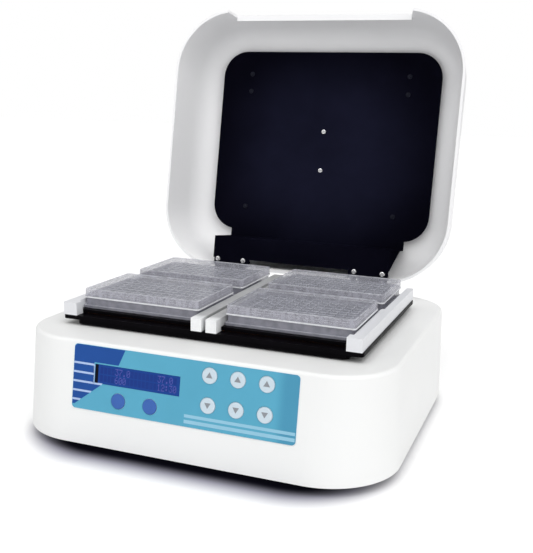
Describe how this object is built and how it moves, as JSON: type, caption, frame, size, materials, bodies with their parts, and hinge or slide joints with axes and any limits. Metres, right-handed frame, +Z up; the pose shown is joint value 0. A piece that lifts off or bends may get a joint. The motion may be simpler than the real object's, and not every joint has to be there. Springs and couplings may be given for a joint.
{
  "type": "microplate shaker incubator",
  "caption": "Heated orbital shaker for microplates: rounded housing with keypad and display, orbiting tray with clear plates, and a deep hinged lid with a black heated liner.",
  "frame": {"origin": "under the middle of the machine's own box with its lid open, on the bench surface", "axes": "+X to the right as seen from the control panel, +Y from the panel to the hinges, +Z up"},
  "size_m": [0.3766, 0.4312, 0.4321],
  "materials": {
    "housing": "satin",
    "foot_rubber": "matte",
    "pan_steel": "satin",
    "overlay_film": "satin",
    "lcd": "glossy",
    "board": "satin",
    "key_white": "satin",
    "key_blue": "satin",
    "steel": "brushed",
    "bright_steel": "polished",
    "motor_metal": "satin",
    "belt_rubber": "matte",
    "black_anodised": "anodised satin",
    "heater_film": "satin",
    "rail_white": "satin",
    "clear_plastic": "clear",
    "black_sheet": "satin",
    "foam": "matte",
    "black_plastic": "satin",
    "zinc_steel": "plated"
  },
  "bodies": {
    "base": {"base_shell": "housing", "base_pan": "pan_steel", "rubber_feet": "foot_rubber", "pan_screws": "zinc_steel", "control_overlay": "overlay_film", "lcd_window": "lcd", "lcd_module": "black_plastic", "keypad_board": "board", "drive_plate": "motor_metal", "plate_standoffs": "steel", "spindle_housing": "motor_metal", "idler_housings": "motor_metal", "drive_motor": "motor_metal", "drive_belt": "belt_rubber", "power_supply": "pan_steel", "main_board": "board", "power_inlet": "black_plastic", "switch_bezel": "black_plastic", "hinge_brackets": "black_sheet", "hinge_pins": "steel"},
    "drive_crank": {"crank_spindle": "steel", "driven_pulley": "motor_metal", "counterweight": "steel"},
    "motor_rotor": {"motor_shaft": "steel", "motor_pulley": "motor_metal"},
    "platform": {"platform_carrier": "black_anodised", "platform_bearings": "steel", "tray_plate": "black_anodised", "heater_mat": "heater_film", "heater_block": "black_anodised", "outer_rail_left": "rail_white", "outer_rail_right": "rail_white", "centre_rails": "rail_white"},
    "power_switch": {"power_rocker": "black_plastic"},
    "lid": {"lid_shell": "housing", "lid_liner": "black_sheet", "lid_heater": "heater_film", "lid_insulation": "foam", "lid_screws": "bright_steel", "hinge_lid_leaves": "black_sheet"},
    "idler_1": {"idler_crank_1": "steel"},
    "idler_2": {"idler_crank_2": "steel"},
    "idler_3": {"idler_crank_3": "steel"},
    "idler_4": {"idler_crank_4": "steel"},
    "plate_front_left": {"microplate_front_left": "clear_plastic"},
    "cover_front_left": {"plate_lid_front_left": "clear_plastic"},
    "plate_front_right": {"microplate_front_right": "clear_plastic"},
    "cover_front_right": {"plate_lid_front_right": "clear_plastic"},
    "plate_rear_left": {"microplate_rear_left": "clear_plastic"},
    "cover_rear_left": {"plate_lid_rear_left": "clear_plastic"},
    "plate_rear_right": {"microplate_rear_right": "clear_plastic"},
    "cover_rear_right": {"plate_lid_rear_right": "clear_plastic"},
    "function_key_1": {"function_key_1": "key_blue"},
    "function_key_2": {"function_key_2": "key_blue"},
    "up_key_1": {"up_key_1": "key_white"},
    "down_key_1": {"down_key_1": "key_white"},
    "up_key_2": {"up_key_2": "key_white"},
    "down_key_2": {"down_key_2": "key_white"},
    "up_key_3": {"up_key_3": "key_white"},
    "down_key_3": {"down_key_3": "key_white"}
  },
  "joints": [
    {"name": "lid_hinge", "type": "hinge", "parent": "base", "child": "lid", "pos_m": [0, 0.10802, 0.1229], "axis": [1, 0, 0], "range_deg": [0, 100]},
    {"name": "crank_spin", "type": "hinge", "parent": "base", "child": "drive_crank", "pos_m": [0, -0.05258, 0.104], "axis": [0, 0, 1], "continuous": true},
    {"name": "platform_orbit", "type": "hinge", "parent": "drive_crank", "child": "platform", "pos_m": [0, -0.05158, 0.104], "axis": [0, 0, 1], "continuous": true},
    {"name": "rotor_spin", "type": "hinge", "parent": "base", "child": "motor_rotor", "pos_m": [0.078, -0.05258, 0.07], "axis": [0, 0, 1], "continuous": true},
    {"name": "idler_spin_1", "type": "hinge", "parent": "base", "child": "idler_1", "pos_m": [-0.105, -0.12758, 0.104], "axis": [0, 0, 1], "continuous": true},
    {"name": "idler_spin_2", "type": "hinge", "parent": "base", "child": "idler_2", "pos_m": [0.105, -0.12758, 0.104], "axis": [0, 0, 1], "continuous": true},
    {"name": "idler_spin_3", "type": "hinge", "parent": "base", "child": "idler_3", "pos_m": [-0.105, 0.02242, 0.104], "axis": [0, 0, 1], "continuous": true},
    {"name": "idler_spin_4", "type": "hinge", "parent": "base", "child": "idler_4", "pos_m": [0.105, 0.02242, 0.104], "axis": [0, 0, 1], "continuous": true},
    {"name": "plate_lift_front_left", "type": "slide", "parent": "platform", "child": "plate_front_left", "axis": [0, 0, 1], "range_m": [0, 0.12]},
    {"name": "cover_lift_front_left", "type": "slide", "parent": "plate_front_left", "child": "cover_front_left", "axis": [0, 0, 1], "range_m": [0, 0.06]},
    {"name": "plate_lift_front_right", "type": "slide", "parent": "platform", "child": "plate_front_right", "axis": [0, 0, 1], "range_m": [0, 0.12]},
    {"name": "cover_lift_front_right", "type": "slide", "parent": "plate_front_right", "child": "cover_front_right", "axis": [0, 0, 1], "range_m": [0, 0.06]},
    {"name": "plate_lift_rear_left", "type": "slide", "parent": "platform", "child": "plate_rear_left", "axis": [0, 0, 1], "range_m": [0, 0.12]},
    {"name": "cover_lift_rear_left", "type": "slide", "parent": "plate_rear_left", "child": "cover_rear_left", "axis": [0, 0, 1], "range_m": [0, 0.06]},
    {"name": "plate_lift_rear_right", "type": "slide", "parent": "platform", "child": "plate_rear_right", "axis": [0, 0, 1], "range_m": [0, 0.12]},
    {"name": "cover_lift_rear_right", "type": "slide", "parent": "plate_rear_right", "child": "cover_rear_right", "axis": [0, 0, 1], "range_m": [0, 0.06]},
    {"name": "press_function_key_1", "type": "slide", "parent": "base", "child": "function_key_1", "axis": [0, 0.9895, -0.1443], "range_m": [0, 0.0005], "stiffness_N_per_m": 600},
    {"name": "press_function_key_2", "type": "slide", "parent": "base", "child": "function_key_2", "axis": [0, 0.9895, -0.1443], "range_m": [0, 0.0005], "stiffness_N_per_m": 600},
    {"name": "press_up_key_1", "type": "slide", "parent": "base", "child": "up_key_1", "axis": [0, 0.9895, -0.1443], "range_m": [0, 0.0005], "stiffness_N_per_m": 600},
    {"name": "press_down_key_1", "type": "slide", "parent": "base", "child": "down_key_1", "axis": [0, 0.9895, -0.1443], "range_m": [0, 0.0005], "stiffness_N_per_m": 600},
    {"name": "press_up_key_2", "type": "slide", "parent": "base", "child": "up_key_2", "axis": [0, 0.9895, -0.1443], "range_m": [0, 0.0005], "stiffness_N_per_m": 600},
    {"name": "press_down_key_2", "type": "slide", "parent": "base", "child": "down_key_2", "axis": [0, 0.9895, -0.1443], "range_m": [0, 0.0005], "stiffness_N_per_m": 600},
    {"name": "press_up_key_3", "type": "slide", "parent": "base", "child": "up_key_3", "axis": [0, 0.9895, -0.1443], "range_m": [0, 0.0005], "stiffness_N_per_m": 600},
    {"name": "press_down_key_3", "type": "slide", "parent": "base", "child": "down_key_3", "axis": [0, 0.9895, -0.1443], "range_m": [0, 0.0005], "stiffness_N_per_m": 600},
    {"name": "switch_rock", "type": "hinge", "parent": "base", "child": "power_switch", "pos_m": [0.048, 0.12003, 0.042], "axis": [1, 0, 0], "range_deg": [0, 9]}
  ],
  "couplings": [
    {"joint": "platform_orbit", "follows": "crank_spin", "ratio": -1},
    {"joint": "rotor_spin", "follows": "crank_spin", "ratio": 2.4},
    {"joint": "idler_spin_1", "follows": "crank_spin", "ratio": 1},
    {"joint": "idler_spin_2", "follows": "crank_spin", "ratio": 1},
    {"joint": "idler_spin_3", "follows": "crank_spin", "ratio": 1},
    {"joint": "idler_spin_4", "follows": "crank_spin", "ratio": 1}
  ]
}
